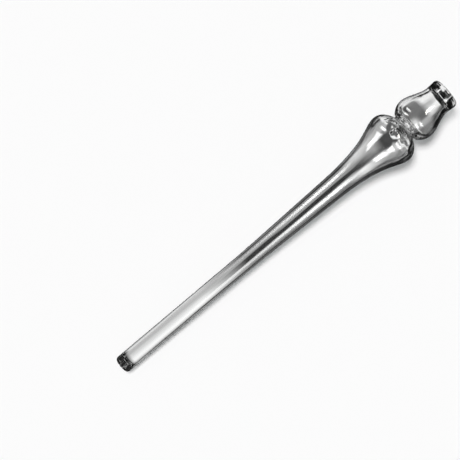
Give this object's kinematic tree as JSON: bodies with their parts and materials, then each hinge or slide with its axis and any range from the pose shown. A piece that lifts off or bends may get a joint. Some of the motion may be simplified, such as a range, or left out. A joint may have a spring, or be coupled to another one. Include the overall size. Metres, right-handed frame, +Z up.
{
  "type": "whisky water pipette",
  "caption": "Clear lampworked glass pipette lying on its side: slim stem, flared reservoir with an inner airway, pinched neck and a tulip head closed by a fingertip.",
  "frame": {"origin": "on the surface that the pipette lies on, under the middle of its length", "axes": "+X along the length from the dropping tip to the thumb rim, +Z up, and the glass's own axis climbs 3 degrees towards +X, as it does when the tip and the reservoir both touch the table"},
  "size_m": [0.1814, 0.0234, 0.0233],
  "materials": {
    "clear_glass": "clear, colourless and fire-polished"
  },
  "bodies": {
    "root": {"dropping_tip": "clear_glass", "stem_tube": "clear_glass", "stem_taper": "clear_glass", "reservoir_flare": "clear_glass", "reservoir_dome": "clear_glass", "airway_tube": "clear_glass", "neck_ring": "clear_glass", "head_bowl": "clear_glass", "head_chimney": "clear_glass", "thumb_rim": "clear_glass"}
  },
  "joints": []
}
